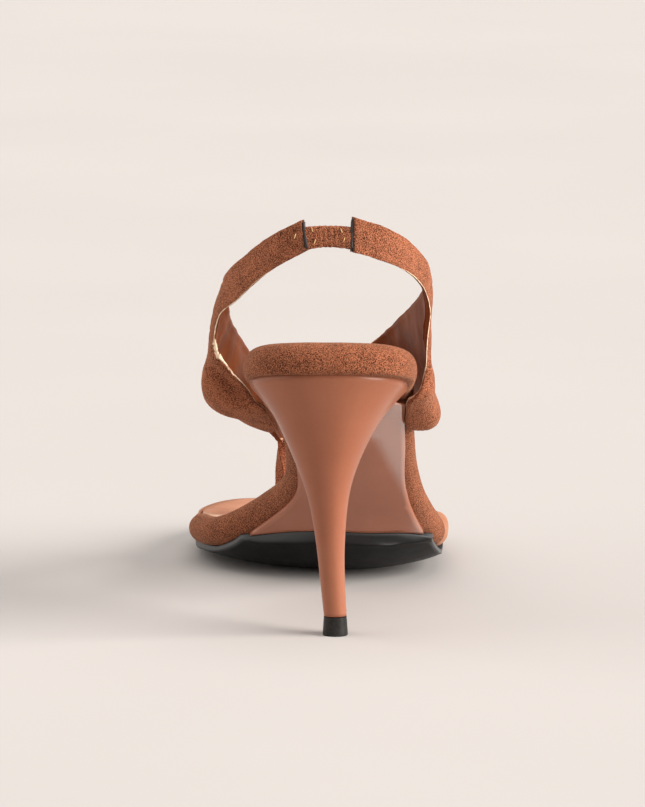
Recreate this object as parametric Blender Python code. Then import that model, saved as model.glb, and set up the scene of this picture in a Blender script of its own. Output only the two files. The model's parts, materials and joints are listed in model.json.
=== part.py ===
"""Slingback stiletto sandal for the right foot, as the pieces that a shoemaker puts together.

The shoe is drawn in millimetres from its own axes: x to the outer side of the foot from the middle of the
heel seat, y to the toe from the back of the seat, and z up from the floor. The pieces under the foot are
drawn on the board, the curved line of the footbed's underside: a place on it is (x, along, level), with
along measured down the curve from the heel and level measured square to it. The finished pieces are moved
so that the origin lies on the floor, under the middle of the whole shoe.
"""

import math
from collections import namedtuple

import bpy
import bmesh
from mathutils import Vector

# Driving sizes, in millimetres
MM = 0.001
GAP = 0.3
BOARD_LENGTH = 240.0
FOOTBED_EDGE = 9.5
FOOTBED_TOE_EDGE = 7.0
FOOTBED_TAPER_ALONG = 180.0
SEAT_SIDE_SHARE = 0.3
SEAT_SIDE_FROM = 28.0
SEAT_SIDE_TO = 48.0
SOLE_THICK = 2.8
SOLE_INSET = 2.6
SOLE_BEVEL_WIDTH = 4.5
SOLE_BEVEL_HEIGHT = 1.3
RECESS_SHARE = 0.86
INSOLE_INSET = 5.5
WAIST_REAR_INSET = 2.3
WAIST_REAR_TO = 72.0
WAIST_INSET = 3.9
WAIST_INSET_FROM = 100.0
WAIST_EDGE = 1.3
WAIST_CROWN = 2.6
WAIST_TREAD_CROWN = 0.3
BREAST_ALONG = 50.0
TREAD_ALONG = 124.6
TREAD_INNER_LEAD = 15.0
TREAD_OUTER_LEAD = 5.0
TREAD_CORNER_LEAD = 6.5
TREAD_SPAN = 44.0
HEEL_TOP_INSET = 2.0
HEEL_TOP_SHIFT = -1.0
LIFT_HEIGHT = 5.8
STRAP_THICK = 2.0
STRAP_TUCK = 1.7
STRAP_LOWER_RISE = 0.1
ELASTIC_THICK = 1.6
ELASTIC_UPPER_INSET = 2.0
ELASTIC_LOWER_INSET = 0.2
ELASTIC_UPPER_RISE = 0.3
ELASTIC_LOWER_RISE = 0.8
ELASTIC_END_SLANT = 0.62

# How finely the curved faces are cut, and the angle from which an edge stays sharp
SHARP_ANGLE_DEG = 40.0
BOARD_STEP = 0.5
FOOTBED_STATIONS = 50
SOLE_STATIONS = 26
COLUMNS_ACROSS = 6
ROUND_STEPS = 6
HEEL_POINTS = 32
STRAP_STATIONS = 46
STRAP_COLUMNS = 9
ELASTIC_STATIONS = 8


class Table:
    """Rows of named columns, read between its rows along the first column without overshooting."""

    def __init__(self, columns, *rows):
        self.columns = columns
        self.rows = rows

    def at(self, column, place):
        where = [row[0] for row in self.rows]
        values = [row[self.columns.index(column)] for row in self.rows]
        return smooth_between(where, values, place)


def smooth_between(where, values, place):
    """Value at a place on the smooth curve through (where, values) that keeps each rise and fall."""
    if place <= where[0]:
        return values[0]
    if place >= where[-1]:
        return values[-1]
    steps = [b - a for a, b in zip(where, where[1:])]
    grades = [(b - a) / step for a, b, step in zip(values, values[1:], steps)]
    tangents = [grades[0]]
    for before, after, near, far in zip(grades, grades[1:], steps, steps[1:]):
        same_way = before * after > 0.0
        near_weight = 2.0 * far + near
        far_weight = far + 2.0 * near
        total = near_weight + far_weight
        tangents.append(total / (near_weight / before + far_weight / after) if same_way else 0.0)
    tangents.append(grades[-1])
    index = max(i for i, start in enumerate(where[:-1]) if start <= place)
    step = steps[index]
    t = (place - where[index]) / step
    return (values[index] * (1.0 + 2.0 * t) * (1.0 - t) ** 2
            + step * tangents[index] * t * (1.0 - t) ** 2
            + values[index + 1] * t * t * (3.0 - 2.0 * t)
            + step * tangents[index + 1] * t * t * (t - 1.0))


# Slope of the board, down to the toe: seat, arch, ball, flat tread and toe spring
BOARD_SLOPE = Table(
    ("along", "slope_deg"),
    (0.0, 14.0),
    (30.0, 16.0),
    (66.0, 43.0),
    (124.0, 45.0),
    (168.0, 0.0),
    (196.0, 0.0),
    (BOARD_LENGTH, -4.0))

# Plan of the footbed before its ends are rounded: x of the inner and the outer edge
PLAN = Table(
    ("along", "inner", "outer"),
    (0.0, -26.5, 26.5),
    (30.0, -26.5, 26.5),
    (62.0, -21.5, 24.5),
    (90.0, -16.0, 25.2),
    (106.0, -16.4, 26.7),
    (114.0, -19.4, 28.2),
    (124.0, -25.0, 30.4),
    (140.0, -35.0, 33.6),
    (156.0, -43.8, 35.4),
    (176.0, -50.5, 35.6),
    (196.0, -52.4, 33.6),
    (218.0, -49.5, 27.8),
    (BOARD_LENGTH, -46.0, 22.0))

# Lift of the inner edge under the arch of the foot
ARCH = Table(
    ("along", "lift"),
    (55.0, 0.0),
    (95.0, 4.0),
    (125.0, 3.5),
    (162.0, 0.0))
# Lift of each edge of the forefoot, so that its underside is round across outside the flat middle
SIDE_ROLL = Table(
    ("along", "inner", "outer"),
    (112.0, 0.0, 0.0),
    (138.0, 4.4, 4.4),
    (160.0, 4.1, 4.2),
    (170.0, 3.4, 4.0),
    (183.0, 1.9, 3.7),
    (200.0, 1.6, 1.9),
    (BOARD_LENGTH, 2.0, 1.2))
FLAT_SHARE = 0.3
ARCH_START_X = 12.0
ARCH_FULL_X = -24.0

HEEL_END_DEPTH = 27.0
HEEL_END_POWER = 2.5
TOE_END_DEPTH = 40.0
TOE_END_POWER = 2.7
END_FLAT = 0.25

# Heel from its foot to just under the seat: middle, width, back and front of each section, and its tilt
HEEL = Table(
    ("height", "mid_x", "width", "back", "front", "tilt_deg"),
    (LIFT_HEIGHT + GAP, 1.7, 7.1, 18.8, 26.6, 0.0),
    (13.4, 1.1, 7.5, 18.6, 26.9, 0.0),
    (22.5, 0.5, 8.1, 18.2, 27.6, 0.0),
    (33.0, 0.0, 9.8, 17.2, 29.0, 0.0),
    (43.3, -0.5, 12.9, 15.2, 31.5, 2.0),
    (49.5, -0.8, 16.6, 13.2, 34.4, 4.5),
    (56.0, -0.9, 21.8, 10.6, 38.4, 8.0),
    (62.5, -0.8, 27.8, 7.8, 41.2, 11.0),
    (69.0, -0.4, 34.6, 5.2, 43.8, 14.0))
HEEL_SECTIONS = 16
HEEL_BACK_POWER = 2.2
HEEL_FRONT_POWER = 3.0
SEAT_FRONT_POWER = 6.0
LIFT_FLARE = 0.4

# One section across a strap: its two edges; how far its curve heads down and out from the upper edge, and
# out from the lower edge; its wall; and how steeply its curve rises out from the lower edge
Section = namedtuple("Section", ("upper", "lower", "drop", "flare", "reach", "wall", "rise"))
INNER = -1.0
OUTER = 1.0


def end_round(depth_in, depth, power):
    """Share of the full half width at a distance in from a rounded end."""
    if depth_in >= depth:
        return 1.0
    return (1.0 - (1.0 - depth_in / depth) ** power) ** (1.0 / power)


def ease(part):
    """Smooth step from 0 to 1."""
    part = min(max(part, 0.0), 1.0)
    return part * part * (3.0 - 2.0 * part)


def board_line():
    """Points (y, z) down the footbed's underside, one each BOARD_STEP, with the tread on the floor."""
    points = [(0.0, 0.0)]
    for index in range(round(BOARD_LENGTH / BOARD_STEP)):
        slope = math.radians(BOARD_SLOPE.at("slope_deg", (index + 0.5) * BOARD_STEP))
        y, z = points[-1]
        points.append((y + BOARD_STEP * math.cos(slope), z - BOARD_STEP * math.sin(slope)))
    lowest = min(z for _, z in points)
    return [(y, z - lowest + GAP + SOLE_THICK) for y, z in points]


LINE = board_line()


def on_board(x, along, level):
    """World place, in millimetres, of a point of the board."""
    index = min(max(int(along / BOARD_STEP), 0), len(LINE) - 2)
    part = along / BOARD_STEP - index
    (y0, z0), (y1, z1) = LINE[index], LINE[index + 1]
    slope = math.radians(BOARD_SLOPE.at("slope_deg", along))
    level += ARCH.at("lift", along) * ease((x - ARCH_START_X) / (ARCH_FULL_X - ARCH_START_X))
    inner = PLAN.at("inner", along)
    outer = PLAN.at("outer", along)
    aside = (2.0 * x - inner - outer) / (outer - inner)
    roll = SIDE_ROLL.at("inner" if aside < 0.0 else "outer", along)
    level += roll * ease((abs(aside) - FLAT_SHARE) / (1.0 - FLAT_SHARE))
    return Vector((x,
                   y0 + (y1 - y0) * part + level * math.sin(slope),
                   z0 + (z1 - z0) * part + level * math.cos(slope)))


def footbed_thickness(along):
    """Thickness of the padded footbed, thinner at the toe."""
    toe = max(along - FOOTBED_TAPER_ALONG, 0.0) / (BOARD_LENGTH - FOOTBED_TAPER_ALONG)
    return FOOTBED_EDGE + (FOOTBED_TOE_EDGE - FOOTBED_EDGE) * min(toe, 1.0)


def edge_x(side, along):
    """x of the footbed's inner or outer edge, with the round heel and the squarer toe."""
    inner = PLAN.at("inner", along)
    outer = PLAN.at("outer", along)
    middle = (inner + outer) / 2.0
    share = min(end_round(along, HEEL_END_DEPTH, HEEL_END_POWER),
                end_round(BOARD_LENGTH - along, TOE_END_DEPTH, TOE_END_POWER))
    return middle + ((inner if side == INNER else outer) - middle) * share


def stations(first, last, count, round_first, round_last):
    """Places along the board, closer together towards a rounded end."""
    places = []
    for index in range(count + 1):
        t = index / count
        if round_first and round_last:
            t = 0.5 * t + 0.25 - 0.25 * math.cos(math.pi * t)
        elif round_last:
            t = 0.5 * t + 0.5 * math.sin(0.5 * math.pi * t)
        places.append(first + (last - first) * t)
    return places


def edge_loop(rows, columns, inset):
    """Closed loop of (x, along) round a plan, moved in square to its edge by inset, which varies along it.

    It runs from the inner edge's heel end to the toe, across, back along the outer edge, and across again.
    """
    inner = [(left, along) for along, left, _ in rows]
    outer = [(right, along) for along, _, right in rows]
    across_toe = [blend(inner[-1], outer[-1], k / columns) for k in range(1, columns)]
    across_heel = [blend(outer[0], inner[0], k / columns) for k in range(1, columns)]
    loop = inner + across_toe + outer[::-1] + across_heel
    count = len(loop)
    moved = []
    for index, (x, along) in enumerate(loop):
        before = loop[index - 1]
        after = loop[(index + 1) % count]
        run = Vector((after[0] - before[0], after[1] - before[1])).normalized()
        depth = inset(along)
        moved.append((x + run.y * depth, along - run.x * depth))
    return moved


def blend(start, end, part):
    """Point part of the way from start to end."""
    return tuple(a + (b - a) * part for a, b in zip(start, end))


def new_piece(name, verts, faces, finish):
    """Object with a closed mesh, from points in millimetres, its faces turned outwards."""
    mesh = bpy.data.meshes.new(name)
    mesh.from_pydata([Vector(vert) * MM for vert in verts], [], faces)
    shape = bmesh.new()
    shape.from_mesh(mesh)
    bmesh.ops.recalc_face_normals(shape, faces=shape.faces)
    bmesh.ops.triangulate(shape, faces=shape.faces)
    shape.to_mesh(mesh)
    shape.free()
    mesh.shade_smooth()
    mesh.set_sharp_from_angle(angle=math.radians(SHARP_ANGLE_DEG))
    mesh.materials.append(finish)
    piece = bpy.data.objects.new(name, mesh)
    bpy.context.collection.objects.link(piece)
    return piece


def at_tread(x, along):
    """Place on the board, moved to the toe near the curved line where the soles meet, most at its ends."""
    inner = PLAN.at("inner", along)
    outer = PLAN.at("outer", along)
    aside = (2.0 * x - inner - outer) / (outer - inner)
    lead = TREAD_INNER_LEAD * aside ** 2 if aside < 0.0 else TREAD_OUTER_LEAD * aside ** 4
    lead += TREAD_CORNER_LEAD * aside ** 6
    moved = along + lead * ease(1.0 - abs(along - TREAD_ALONG) / TREAD_SPAN)
    inner = PLAN.at("inner", moved)
    outer = PLAN.at("outer", moved)
    return (inner + outer + aside * (outer - inner)) / 2.0, moved


def unmoved(x, along):
    """Place on the board, as it is."""
    return x, along


def no_crown(along):
    """Crown of a flat face."""
    return 0.0


def waist_crown(along):
    """Crown of the waist's underside, which goes flat towards the tread."""
    part = ease((along - BREAST_ALONG) / (TREAD_ALONG - BREAST_ALONG))
    return WAIST_CROWN + (WAIST_TREAD_CROWN - WAIST_CROWN) * part


def swell(crown, part):
    """Height of an arch of height crown, part of the way across it."""
    return crown * 4.0 * part * (1.0 - part)


def slab(name, finish, rows, columns, rings, base, thick, crown=no_crown, moved=unmoved):
    """Piece of the board: a plan of rows (along, inner x, outer x) with its edge shaped by rings.

    Each ring is (inset at a place along it, share of the thickness), from the bottom face to the top one. A
    crown swells the middle of the bottom face, and moved shifts each place on the board.
    """
    loops = [edge_loop(rows, columns, inset) for inset, _ in rings]
    count = len(loops[0])
    length = len(rows)

    def lifted(point, share, part):
        x, along = moved(*point)
        lower = swell(crown(along), part) if share == 0.0 else 0.0
        return on_board(x, along, base(along) + thick(along) * share - lower)

    def edge_point(row, column):
        if row == 0 and 0 < column < columns:
            return count - column
        if row == length - 1 and 0 < column < columns:
            return length - 1 + column
        if column == 0:
            return row
        if column == columns:
            return length + columns - 1 + (length - 1 - row)
        return None

    end_columns = {edge_point(row, column): column
                   for row in (0, length - 1) for column in range(columns + 1)}
    verts = []
    faces = []
    for loop, (_, share) in zip(loops, rings):
        for index, point in enumerate(loop):
            verts.append(lifted(point, share, end_columns.get(index, 0) / columns))
    for ring in range(len(rings) - 1):
        for index in range(count):
            after = (index + 1) % count
            low = ring * count
            high = low + count
            faces.append((low + index, low + after, high + after, high + index))
    for ring in (0, len(rings) - 1):
        loop = loops[ring]
        share = rings[ring][1]
        grid = []
        for row in range(length):
            line = []
            for column in range(columns + 1):
                known = edge_point(row, column)
                if known is not None:
                    line.append(ring * count + known)
                    continue
                part = column / columns
                point = blend(loop[row], loop[edge_point(row, columns)], part)
                line.append(len(verts))
                verts.append(lifted(point, share, part))
            grid.append(line)
        faces.extend(grid_faces(grid))
    return new_piece(name, verts, faces, finish)


def grid_faces(grid):
    """Four-sided faces between neighbouring rows of a grid of vertex numbers."""
    faces = []
    for near, far in zip(grid, grid[1:]):
        for column in range(len(near) - 1):
            faces.append((near[column], near[column + 1], far[column + 1], far[column]))
    return faces


def plan_rows(places, inset):
    """Rows (along, inner x, outer x) of the footbed's plan, with both sides drawn in by a varying inset."""
    return [(along, edge_x(INNER, along) + inset(along), edge_x(OUTER, along) - inset(along))
            for along in places]


def steady(inset):
    """Inset that is the same all along a piece."""
    return lambda along: inset


def waist_inset(along):
    """Inset of the waist's edge from the footbed's, less at its heel end."""
    part = ease((along - WAIST_REAR_TO) / (WAIST_INSET_FROM - WAIST_REAR_TO))
    return WAIST_REAR_INSET + (WAIST_INSET - WAIST_REAR_INSET) * part


def round_inset(turn):
    """Inset of the footbed's round edge at a turn up from level, flatter below the seat's middle line."""
    full = FOOTBED_EDGE / 2.0 * (1.0 - math.cos(turn))
    if turn >= 0.0:
        return steady(full)

    def inset(along):
        past_seat = ease((along - SEAT_SIDE_FROM) / (SEAT_SIDE_TO - SEAT_SIDE_FROM))
        return full * (SEAT_SIDE_SHARE + (1.0 - SEAT_SIDE_SHARE) * past_seat)

    return inset


def make_footbed(finish):
    """Padded board with a round edge, and a shallow bed on top for the insole."""
    places = stations(END_FLAT, BOARD_LENGTH - END_FLAT, FOOTBED_STATIONS, True, True)
    rings = []
    for step in range(ROUND_STEPS + 1):
        turn = math.pi * (step / ROUND_STEPS - 0.5)
        rings.append((round_inset(turn), 0.5 + 0.5 * math.sin(turn)))
    rings.append((steady(FOOTBED_EDGE / 2.0 + GAP), RECESS_SHARE))
    return slab("footbed", finish, plan_rows(places, steady(0.0)), COLUMNS_ACROSS, rings,
                lambda along: 0.0, footbed_thickness)


def make_insole(finish):
    """Thin sock that lies in the bed on top of the footbed, level with its edge."""
    places = stations(END_FLAT, BOARD_LENGTH - END_FLAT, FOOTBED_STATIONS, True, True)
    rings = ((steady(INSOLE_INSET), 0.0), (steady(INSOLE_INSET), 1.0))
    return slab("insole", finish, plan_rows(places, steady(0.0)), COLUMNS_ACROSS, rings,
                lambda along: footbed_thickness(along) * RECESS_SHARE + GAP,
                lambda along: footbed_thickness(along) * (1.0 - RECESS_SHARE) - GAP)


def make_waist_sole(finish):
    """Lacquered underside of the arch, swelled across, from the heel's front to the tread."""
    places = stations(BREAST_ALONG + GAP, TREAD_ALONG - GAP, SOLE_STATIONS // 2, False, False)
    rings = ((steady(0.0), 0.0), (steady(0.0), 1.0))
    return slab("waist_sole", finish, plan_rows(places, waist_inset), COLUMNS_ACROSS, rings,
                lambda along: -GAP - WAIST_EDGE, lambda along: WAIST_EDGE, waist_crown, at_tread)


def make_forefoot_sole(finish):
    """Rubber sole under the ball and the toes, flat at the tread, with a bevelled lower edge."""
    first = TREAD_ALONG + GAP - SOLE_INSET
    places = stations(first, BOARD_LENGTH - END_FLAT, SOLE_STATIONS, False, True)
    bevel_share = SOLE_BEVEL_HEIGHT / SOLE_THICK
    edge = steady(SOLE_INSET)
    rings = ((steady(SOLE_INSET + SOLE_BEVEL_WIDTH), 0.0), (edge, bevel_share), (edge, 1.0))
    return slab("forefoot_sole", finish, plan_rows(places, steady(0.0)), COLUMNS_ACROSS, rings,
                lambda along: -GAP - SOLE_THICK, lambda along: SOLE_THICK, no_crown, at_tread)


def oval(mid_x, width, back, front, front_power):
    """Points (x, y) round a heel section, from the back: a round back and a squarer front."""
    centre = (back + front) / 2.0
    points = []
    for index in range(HEEL_POINTS):
        turn = 2.0 * math.pi * index / HEEL_POINTS
        power = HEEL_BACK_POWER if math.cos(turn) >= 0.0 else front_power
        side = math.copysign(abs(math.sin(turn)) ** (2.0 / power), math.sin(turn))
        depth = math.copysign(abs(math.cos(turn)) ** (2.0 / power), math.cos(turn))
        points.append((mid_x + width / 2.0 * side, centre - (front - back) / 2.0 * depth))
    return points


def heel_section(height):
    """Loop of points round the heel at a height in its table."""
    mid_x, width, back, front, tilt = (HEEL.at(column, height) for column in HEEL.columns[1:])
    fall = math.tan(math.radians(tilt))
    centre = (back + front) / 2.0
    return [Vector((x, y, height - (y - centre) * fall))
            for x, y in oval(mid_x, width, back, front, HEEL_FRONT_POWER)]


def seat_loop():
    """Loop of points round the heel's top, close under the footbed."""
    middle = (PLAN.at("inner", BREAST_ALONG) + PLAN.at("outer", BREAST_ALONG)) / 4.0 + HEEL_TOP_SHIFT
    width = PLAN.at("outer", 0.0) - PLAN.at("inner", 0.0) - 2.0 * HEEL_TOP_INSET
    points = oval(middle, width, HEEL_TOP_INSET, BREAST_ALONG - GAP, SEAT_FRONT_POWER)
    return [on_board(x, along, -GAP) for x, along in points]


def loop_faces(loop_count, point_count):
    """Faces of a tube of loops, each with its ends closed by strips between matching sides."""
    faces = []
    for loop in range(loop_count - 1):
        for index in range(point_count):
            after = (index + 1) % point_count
            low = loop * point_count
            high = low + point_count
            faces.append((low + index, low + after, high + after, high + index))
    for start in (0, (loop_count - 1) * point_count):
        half = point_count // 2
        faces.append((start, start + 1, start + point_count - 1))
        for index in range(1, half - 1):
            faces.append((start + index, start + index + 1,
                          start + point_count - index - 1, start + point_count - index))
        faces.append((start + half - 1, start + half, start + half + 1))
    return faces


def make_heel(finish):
    """Tall heel, slim below and flared up into the seat."""
    first = HEEL.rows[0][0]
    last = HEEL.rows[-1][0]
    loops = [heel_section(first + (last - first) * index / (HEEL_SECTIONS - 1))
             for index in range(HEEL_SECTIONS)]
    loops.append(seat_loop())
    verts = [point for loop in loops for point in loop]
    return new_piece("heel", verts, loop_faces(len(loops), HEEL_POINTS), finish)


def make_top_lift(finish):
    """Small rubber cap that meets the floor, a little wider at its foot."""
    _, mid_x, width, back, front, _ = HEEL.rows[0]
    loops = []
    for height, flare in ((0.0, LIFT_FLARE), (LIFT_HEIGHT, 0.0)):
        points = oval(mid_x, width + 2.0 * flare, back - flare, front + flare, HEEL_FRONT_POWER)
        loops.append([Vector((x, y, height)) for x, y in points])
    verts = [point for loop in loops for point in loop]
    return new_piece("top_lift", verts, loop_faces(len(loops), HEEL_POINTS), finish)


def free(upper, lower, drop, flare, reach, wall=STRAP_THICK):
    """Section of a strap with both edges in the air."""
    return Section(Vector(upper), Vector(lower), drop, flare, reach, wall, STRAP_LOWER_RISE)


def beside(side, upper, along, out, level, drop, flare, reach, rise=STRAP_LOWER_RISE):
    """Section of a strap whose lower edge lies out from the footbed's edge and up from its underside."""
    lower = on_board(edge_x(side, along) + side * out, along, level)
    return Section(Vector(upper), lower, drop, flare, reach, STRAP_THICK, rise)


def tucked(side, upper, along, drop, flare, reach, rise=STRAP_LOWER_RISE):
    """Section of a strap whose lower edge is held under the footbed, at a place along its edge."""
    return beside(side, upper, along, -STRAP_TUCK, -GAP - STRAP_THICK / 2.0, drop, flare, reach, rise)


def on_insole(x, along):
    """Place just above the insole."""
    return on_board(x, along, footbed_thickness(along) + GAP)


# Inner strap, from its end behind the heel to the place where it lies on the outer strap
INNER_STRAP = (
    free((-7.4, -2.0, 132.0), (-5.9, -2.0, 122.8), 3.0, 0.0, 0.0),
    free((-13.6, 1.5, 128.4), (-14.6, 3.8, 117.6), 3.0, 0.5, 0.5),
    free((-20.3, 8.0, 123.4), (-21.2, 9.2, 112.2), 3.5, 0.5, 0.8),
    free((-26.1, 15.0, 117.7), (-27.4, 17.0, 105.4), 4.0, 1.0, 1.0),
    free((-31.5, 24.0, 110.9), (-33.4, 26.5, 99.2), 4.0, 1.2, 1.2),
    free((-33.4, 38.0, 102.3), (-35.6, 39.5, 88.2), 5.0, 3.0, 2.8),
    free((-32.8, 43.0, 99.7), (-33.2, 45.0, 80.7), 7.0, 4.0, 8.0),
    beside(INNER, (-33.0, 48.0, 97.3), 50.5, 2.8, 3.2, 9.0, 3.0, 19.5),
    beside(INNER, (-33.1, 51.0, 96.1), 52.0, 0.6, -0.6, 11.0, 3.0, 25.5, 0.0),
    tucked(INNER, (-33.1, 54.0, 95.0), 54.0, 12.0, 3.0, 31.5, 0.0),
    tucked(INNER, (-32.8, 63.0, 91.4), 62.0, 12.0, 3.0, 34.0, -0.03),
    tucked(INNER, (-32.2, 72.0, 88.0), 69.0, 12.0, 2.0, 25.0, 0.2),
    beside(INNER, (-31.8, 76.0, 86.4), 71.5, 0.8, -0.8, 11.0, 2.0, 21.0, 0.2),
    beside(INNER, (-31.2, 81.0, 84.4), 75.0, 4.0, 4.0, 10.0, 2.0, 13.0),
    free((-28.8, 98.0, 76.8), (-28.6, 96.0, 59.4), 6.0, 1.0, 4.0),
    free((-24.8, 115.0, 69.0), (-25.8, 114.0, 53.2), 5.0, 0.5, 2.0),
    free((-19.0, 129.5, 62.0), (-23.4, 131.0, 46.6), 3.0, 0.5, 1.5),
    free((-13.0, 141.0, 57.0), (-20.8, 148.5, 39.6), 1.0, 0.5, 1.0))

# Outer strap, from its end behind the heel over the instep, then down between the toes as the post
OUTER_STRAP = (
    free((7.9, -2.0, 133.0), (7.4, -2.0, 122.4), 3.0, 0.0, 0.0),
    free((16.0, 2.0, 129.8), (16.4, 3.5, 119.4), 3.0, 0.5, 0.5),
    free((21.8, 8.0, 126.0), (22.0, 9.0, 116.2), 3.0, 0.5, 0.5),
    free((25.8, 15.0, 121.3), (26.0, 17.0, 112.2), 3.0, 0.5, 0.5),
    free((29.2, 23.0, 115.8), (28.8, 25.0, 106.8), 3.0, 0.5, 0.5),
    free((30.0, 34.0, 109.0), (29.8, 33.5, 98.8), 3.0, 0.8, 0.6),
    free((29.2, 41.0, 105.4), (28.8, 42.0, 89.8), 6.0, 1.0, 1.0),
    free((28.2, 47.0, 103.0), (28.9, 46.0, 80.0), 9.0, 2.0, 2.0),
    beside(OUTER, (27.2, 52.0, 101.0), 43.8, 2.2, 2.4, 14.0, 1.5, 5.0),
    beside(OUTER, (26.6, 54.5, 100.0), 45.2, 0.6, -0.6, 19.0, 1.5, 9.5),
    tucked(OUTER, (25.9, 57.5, 98.8), 47.4, 26.0, 1.5, 14.0),
    tucked(OUTER, (24.1, 64.5, 96.0), 56.0, 26.0, 2.0, 16.5, 0.0),
    tucked(OUTER, (22.0, 72.0, 93.2), 64.0, 23.0, 3.0, 21.5, -0.15),
    beside(OUTER, (20.8, 76.0, 91.6), 67.5, 0.8, -0.8, 19.0, 4.0, 15.0, -0.1),
    beside(OUTER, (19.2, 81.0, 89.4), 71.0, 4.0, 4.0, 14.0, 4.0, 7.0),
    free((13.2, 98.0, 82.0), (25.0, 96.0, 61.5), 5.0, 4.0, 4.0),
    free((5.0, 114.0, 73.6), (16.0, 114.0, 57.5), 3.0, 3.0, 4.0),
    free((-5.0, 129.0, 65.2), (3.5, 131.0, 53.0), 1.0, 2.0, 3.0),
    free((-14.5, 141.0, 57.2), (-10.5, 146.5, 47.5), 1.0, 0.5, 1.0, 2.4),
    free((-19.8, 151.0, 47.0), (-16.6, 154.5, 41.0), 1.0, 0.0, 0.5, 3.4),
    free((-21.6, 158.5, 35.0), (-18.0, 162.5, 31.0), 0.5, 0.0, 0.0, 4.4),
    free((-21.4, 162.5, 24.0), (-17.4, 166.5, 22.5), 0.0, 0.0, 0.0, 5.0),
    free(on_insole(-21.2, 191.0), on_insole(-17.2, 195.0), 0.0, 0.0, 0.0, 5.0))


def strap_line(section, side):
    """Points down one section of a strap, on a curve with a handle at each edge."""
    out = Vector((side, 0.0, 0.0))
    first = section.upper + out * section.flare + Vector((0.0, 0.0, -section.drop))
    second = section.lower + (out + Vector((0.0, 0.0, section.rise))) * section.reach
    points = []
    for index in range(STRAP_COLUMNS):
        t = index / (STRAP_COLUMNS - 1)
        points.append(section.upper * (1.0 - t) ** 3 + first * 3.0 * t * (1.0 - t) ** 2
                      + second * 3.0 * t * t * (1.0 - t) + section.lower * t ** 3)
    return points


def strap_surface(sections, side):
    """Grid of points down the middle of a strap's wall, and the wall at each station."""
    lines = [strap_line(section, side) for section in sections]
    middles = [line[len(line) // 2] for line in lines]
    travelled = [0.0]
    for before, after in zip(middles, middles[1:]):
        travelled.append(travelled[-1] + (after - before).length)
    grid = []
    walls = []
    for index in range(STRAP_STATIONS + 1):
        place = travelled[-1] * index / STRAP_STATIONS
        line = []
        for column in range(STRAP_COLUMNS):
            line.append(Vector([smooth_between(travelled, [row[column][axis] for row in lines], place)
                                for axis in range(3)]))
        grid.append(line)
        walls.append(smooth_between(travelled, [section.wall for section in sections], place))
    return grid, walls


def surface_normal(grid, row, column):
    """Direction square to a grid of points at one of them."""
    rows = len(grid) - 1
    columns = len(grid[0]) - 1
    along = grid[min(row + 1, rows)][column] - grid[max(row - 1, 0)][column]
    down = grid[row][min(column + 1, columns)] - grid[row][max(column - 1, 0)]
    return along.cross(down).normalized()


def make_strap(name, sections, side, finish):
    """Strap with a real wall: two skins either side of its middle surface, closed round the edge."""
    grid, walls = strap_surface(sections, side)
    rows = len(grid)
    columns = len(grid[0])
    verts = []
    for face_side in (0.5, -0.5):
        for row in range(rows):
            for column in range(columns):
                verts.append(grid[row][column]
                             + surface_normal(grid, row, column) * (walls[row] * face_side))
    faces = []
    for skin in (0, 1):
        start = skin * rows * columns
        numbers = [[start + row * columns + column for column in range(columns)] for row in range(rows)]
        faces.extend(grid_faces(numbers))
    rim = [column for column in range(columns)]
    rim += [row * columns + columns - 1 for row in range(1, rows)]
    rim += [(rows - 1) * columns + column for column in range(columns - 2, -1, -1)]
    rim += [row * columns for row in range(rows - 2, 0, -1)]
    for here, after in zip(rim, rim[1:] + rim[:1]):
        faces.append((here, after, after + rows * columns, here + rows * columns))
    return new_piece(name, verts, faces, finish)


def make_upper(finish):
    """Both straps as one wall, joined where the inner one lies on the outer one at the top of the post."""
    upper = make_strap("upper", OUTER_STRAP, OUTER, finish)
    inner = make_strap("upper_inner_strap", INNER_STRAP, INNER, finish)
    inner.hide_render = True
    inner.display_type = "WIRE"
    join = upper.modifiers.new("join_at_crossing", "BOOLEAN")
    join.operation = "UNION"
    join.solver = "EXACT"
    join.object = inner
    return upper, inner


def make_back_elastic(finish):
    """Narrow covered elastic between the two strap ends behind the heel, a little arched."""
    left = INNER_STRAP[0]
    right = OUTER_STRAP[0]
    middle = left.upper.y
    bottom = left.lower.z + ELASTIC_LOWER_INSET
    top = left.upper.z - ELASTIC_UPPER_INSET

    def end_x(strap, height):
        part = (height - strap.lower.z) / (strap.upper.z - strap.lower.z)
        return blend(strap.lower, strap.upper, part)[0]

    verts = []
    faces = []
    for index in range(ELASTIC_STATIONS + 1):
        part = index / ELASTIC_STATIONS
        for height, rise in ((bottom, ELASTIC_LOWER_RISE), (top, ELASTIC_UPPER_RISE)):
            for depth in (-ELASTIC_THICK / 2.0, ELASTIC_THICK / 2.0):
                start = end_x(left, height) + GAP + ELASTIC_END_SLANT * depth
                end = end_x(right, height) - GAP - ELASTIC_END_SLANT * depth
                verts.append((start + (end - start) * part, middle + depth, height + swell(rise, part)))
    for first in range(0, 4 * ELASTIC_STATIONS, 4):
        for here, after in ((0, 1), (1, 3), (3, 2), (2, 0)):
            faces.append((first + here, first + after, first + after + 4, first + here + 4))
    last = 4 * ELASTIC_STATIONS
    faces.append((0, 2, 3, 1))
    faces.append((last, last + 1, last + 3, last + 2))
    return new_piece("back_elastic", verts, faces, finish)


def make_finish(name, colour, roughness):
    """Principled material of one plain colour."""
    finish = bpy.data.materials.new(name)
    finish.use_nodes = True
    shader = finish.node_tree.nodes["Principled BSDF"]
    shader.inputs["Base Color"].default_value = (*colour, 1.0)
    shader.inputs["Roughness"].default_value = roughness
    shader.inputs["Metallic"].default_value = 0.0
    return finish


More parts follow.
